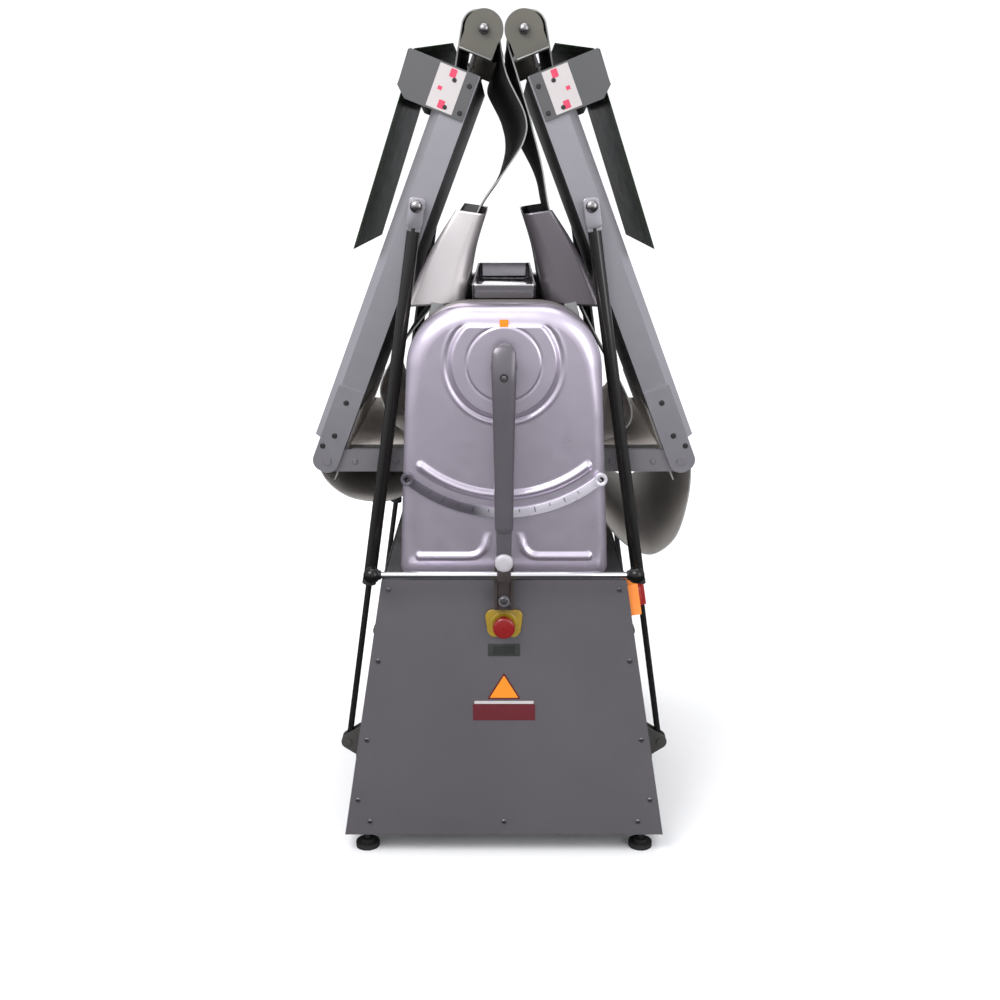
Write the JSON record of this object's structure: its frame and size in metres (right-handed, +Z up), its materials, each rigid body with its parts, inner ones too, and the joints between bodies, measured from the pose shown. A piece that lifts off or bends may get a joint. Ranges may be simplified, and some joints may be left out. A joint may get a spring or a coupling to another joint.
{
  "type": "dough sheeter",
  "caption": "Floor-standing reversible dough sheeter with a closed base, cast head housings, an adjustable roller pair and folding conveyor tables shown folded up.",
  "frame": {"origin": "centre of the bounding box's footprint on the floor", "axes": "+X along the conveyors to the operator's right, -Y towards the operator, +Z up"},
  "size_m": [0.7444, 0.887, 1.6219],
  "materials": {
    "panel_paint": "satin grey hammered paint",
    "frame_paint": "matt dark grey paint",
    "head_casting": "silver hammertone paint on a casting",
    "rail_paint": "satin light grey paint",
    "plate_paint": "satin olive grey paint",
    "polished_steel": "polished stainless sheet",
    "pan_steel": "polished sheet that reflects a dark green room",
    "roller_chrome": "hard chrome",
    "bare_steel": "machined steel",
    "fastener_steel": "zinc plated",
    "strut_black": "gloss black tube",
    "cast_lugs": "matt dark casting",
    "belt_fabric": "light grey woven conveyor belt",
    "drive_rubber": "matt",
    "knob_plastic": "gloss black",
    "estop_yellow": "moulded yellow",
    "estop_red": "moulded red",
    "switch_orange": "moulded orange yellow",
    "motor_paint": "satin",
    "foot_rubber": "matt"
  },
  "bodies": {
    "base": {"base_frame": "frame_paint", "levelling_feet": "foot_rubber", "front_panel": "panel_paint", "rear_panel": "panel_paint", "side_panels": "panel_paint", "panel_screws": "fastener_steel", "head_frame": "frame_paint", "front_housing": "head_casting", "rear_housing": "head_casting", "scale_track": "polished_steel", "roller_bearings": "bare_steel", "lower_scraper": "polished_steel", "centre_bed": "polished_steel", "hinge_brackets": "rail_paint", "strut_lugs": "cast_lugs", "flour_tray": "polished_steel", "estop_collar": "estop_yellow", "switch_box": "switch_orange", "motor": "motor_paint", "cable_gland": "knob_plastic", "v_belt": "drive_rubber", "drive_chain": "bare_steel", "carriage_springs": "bare_steel", "belt_loop_left": "belt_fabric", "belt_loop_right": "belt_fabric"},
    "gap_handle": {"gap_handle": "head_casting", "cam_shaft": "bare_steel"},
    "upper_carriage": {"upper_carriage": "bare_steel"},
    "upper_roller": {"upper_roller": "roller_chrome"},
    "lower_roller": {"lower_roller": "roller_chrome"},
    "motor_pulley": {"motor_pulley": "bare_steel"},
    "drive_roller_left": {"drive_roller_left": "bare_steel"},
    "drive_roller_right": {"drive_roller_right": "bare_steel"},
    "reverse_lever": {"reverse_lever": "roller_chrome", "ball_knobs": "knob_plastic"},
    "estop_button": {"estop_button": "estop_red"},
    "switch_knob": {"switch_knob": "estop_red"},
    "guard_left": {"guard_left": "polished_steel"},
    "table_left": {"rails_left": "rail_paint", "bed_left": "polished_steel", "tensioner_plates_left": "plate_paint", "table_screws_left": "fastener_steel", "pan_brackets_left": "rail_paint", "belt_left": "belt_fabric"},
    "pan_left": {"pan_left": "pan_steel"},
    "end_roller_left": {"end_roller_left": "roller_chrome"},
    "strut_tubes_left": {"strut_tubes_left": "strut_black"},
    "strut_rods_left": {"strut_rods_left": "roller_chrome"},
    "guard_right": {"guard_right": "polished_steel"},
    "table_right": {"rails_right": "rail_paint", "bed_right": "polished_steel", "tensioner_plates_right": "plate_paint", "table_screws_right": "fastener_steel", "pan_brackets_right": "rail_paint", "belt_right": "belt_fabric"},
    "pan_right": {"pan_right": "pan_steel"},
    "end_roller_right": {"end_roller_right": "roller_chrome"},
    "strut_tubes_right": {"strut_tubes_right": "strut_black"},
    "strut_rods_right": {"strut_rods_right": "roller_chrome"}
  },
  "joints": [
    {"name": "left_table_fold", "type": "hinge", "parent": "base", "child": "table_left", "pos_m": [-0.3446, 0.0285, 0.795], "axis": [0, -1, 0], "range_deg": [0, 111.3], "deforming": ["belt_left", "belt_loop_left"]},
    {"name": "left_strut_tube_hinge", "type": "hinge", "parent": "table_left", "child": "strut_tubes_left", "pos_m": [-0.16016, 0.0285, 1.27907], "axis": [0, -1, 0], "range_deg": [-59.26, 0]},
    {"name": "left_strut_rod_hinge", "type": "hinge", "parent": "base", "child": "strut_rods_left", "pos_m": [-0.317, 0.0285, 0.215], "axis": [0, -1, 0], "range_deg": [0, 52.14]},
    {"name": "left_guard_hinge", "type": "hinge", "parent": "base", "child": "guard_left", "pos_m": [-0.15, 0.0285, 0.985], "axis": [0, -1, 0], "range_deg": [0, 111.3]},
    {"name": "left_pan_slide", "type": "slide", "parent": "table_left", "child": "pan_left", "axis": [0.3206, 0, 0.9472], "range_m": [0, 0.28]},
    {"name": "left_end_roller_spin", "type": "hinge", "parent": "table_left", "child": "end_roller_left", "pos_m": [-0.03584, 0.0285, 1.58694], "axis": [0, 1, 0], "continuous": true},
    {"name": "left_drive_roller_spin", "type": "hinge", "parent": "base", "child": "drive_roller_left", "pos_m": [-0.072, 0.0285, 0.799], "axis": [0, 1, 0], "continuous": true},
    {"name": "right_table_fold", "type": "hinge", "parent": "base", "child": "table_right", "pos_m": [0.3446, 0.0285, 0.795], "axis": [0, 1, 0], "range_deg": [0, 111.3], "deforming": ["belt_right", "belt_loop_right"]},
    {"name": "right_strut_tube_hinge", "type": "hinge", "parent": "table_right", "child": "strut_tubes_right", "pos_m": [0.16016, 0.0285, 1.27907], "axis": [0, 1, 0], "range_deg": [-59.26, 0]},
    {"name": "right_strut_rod_hinge", "type": "hinge", "parent": "base", "child": "strut_rods_right", "pos_m": [0.317, 0.0285, 0.215], "axis": [0, 1, 0], "range_deg": [0, 52.14]},
    {"name": "right_guard_hinge", "type": "hinge", "parent": "base", "child": "guard_right", "pos_m": [0.15, 0.0285, 0.985], "axis": [0, 1, 0], "range_deg": [0, 111.3]},
    {"name": "right_pan_slide", "type": "slide", "parent": "table_right", "child": "pan_right", "axis": [-0.3206, 0, 0.9472], "range_m": [0, 0.28]},
    {"name": "right_end_roller_spin", "type": "hinge", "parent": "table_right", "child": "end_roller_right", "pos_m": [0.03584, 0.0285, 1.58694], "axis": [0, 1, 0], "continuous": true},
    {"name": "right_drive_roller_spin", "type": "hinge", "parent": "base", "child": "drive_roller_right", "pos_m": [0.072, 0.0285, 0.799], "axis": [0, 1, 0], "continuous": true},
    {"name": "lower_roller_spin", "type": "hinge", "parent": "base", "child": "lower_roller", "pos_m": [0, 0.0285, 0.776], "axis": [0, 1, 0], "continuous": true},
    {"name": "motor_pulley_spin", "type": "hinge", "parent": "base", "child": "motor_pulley", "pos_m": [0, 0.3685, 0.23], "axis": [0, 1, 0], "continuous": true},
    {"name": "gap_handle_swing", "type": "hinge", "parent": "base", "child": "gap_handle", "pos_m": [0, -0.4115, 1.001], "axis": [0, 1, 0], "range_deg": [-40, 40]},
    {"name": "carriage_slide", "type": "slide", "parent": "base", "child": "upper_carriage", "axis": [0, 0, 1], "range_m": [-0.0241, 0.0241], "stiffness_N_per_m": 2000, "springref_m": 0.147, "deforming": ["carriage_springs"]},
    {"name": "upper_roller_spin", "type": "hinge", "parent": "upper_carriage", "child": "upper_roller", "pos_m": [0, 0.0285, 0.885], "axis": [0, 1, 0], "continuous": true},
    {"name": "reverse_lever_rock", "type": "hinge", "parent": "base", "child": "reverse_lever", "pos_m": [0, -0.3835, 0.552], "axis": [0, 1, 0], "range_deg": [-8, 8]},
    {"name": "estop_press", "type": "slide", "parent": "base", "child": "estop_button", "axis": [0, 1, 0], "range_m": [0, 0.006], "stiffness_N_per_m": 800, "springref_m": -0.004},
    {"name": "switch_turn", "type": "hinge", "parent": "base", "child": "switch_knob", "pos_m": [0.25703, -0.3365, 0.54354], "axis": [0.9873, 0, 0.1588], "range_deg": [0, 90]}
  ],
  "couplings": [
    {"joint": "left_strut_tube_hinge", "follows": "left_table_fold", "ratio": -0.532},
    {"joint": "left_strut_rod_hinge", "follows": "left_table_fold", "ratio": 0.468},
    {"joint": "left_guard_hinge", "follows": "left_table_fold", "ratio": 1},
    {"joint": "left_drive_roller_spin", "follows": "lower_roller_spin", "ratio": 1.867},
    {"joint": "left_end_roller_spin", "follows": "lower_roller_spin", "ratio": 1.5747},
    {"joint": "right_strut_tube_hinge", "follows": "right_table_fold", "ratio": -0.532},
    {"joint": "right_strut_rod_hinge", "follows": "right_table_fold", "ratio": 0.468},
    {"joint": "right_guard_hinge", "follows": "right_table_fold", "ratio": 1},
    {"joint": "right_drive_roller_spin", "follows": "lower_roller_spin", "ratio": 1.867},
    {"joint": "right_end_roller_spin", "follows": "lower_roller_spin", "ratio": 1.5747},
    {"joint": "motor_pulley_spin", "follows": "lower_roller_spin", "ratio": 2.3636},
    {"joint": "upper_roller_spin", "follows": "lower_roller_spin", "ratio": -1},
    {"joint": "carriage_slide", "follows": "gap_handle_swing", "m_per_rad": -0.0344}
  ]
}
